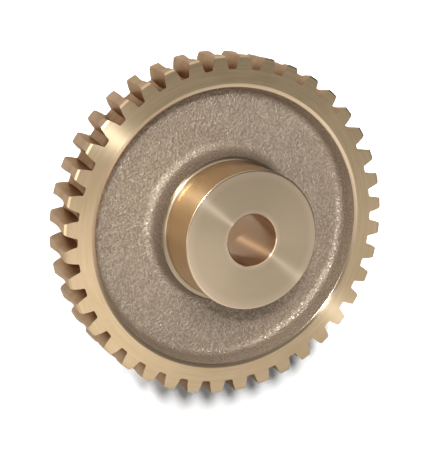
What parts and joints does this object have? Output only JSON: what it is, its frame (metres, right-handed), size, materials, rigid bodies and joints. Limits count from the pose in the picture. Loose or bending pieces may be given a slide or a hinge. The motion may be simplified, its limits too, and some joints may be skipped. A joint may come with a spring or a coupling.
{
  "type": "worm gear",
  "caption": "Cast bronze worm gear with throated, slightly slanted teeth, a plain recessed web, and a plain-bored hub projecting on one side.",
  "frame": {"origin": "on the axis of the bore, at the back face", "axes": "+Z along the bore towards the hub's end; +X through the middle of a tooth gap at the mid-plane"},
  "size_m": [0.1074, 0.1074, 0.0318],
  "materials": {
    "bronze": "turned bright on the rim, hub and bore, hobbed teeth, web as cast"
  },
  "bodies": {
    "root": {"worm_gear": "bronze"}
  },
  "joints": []
}
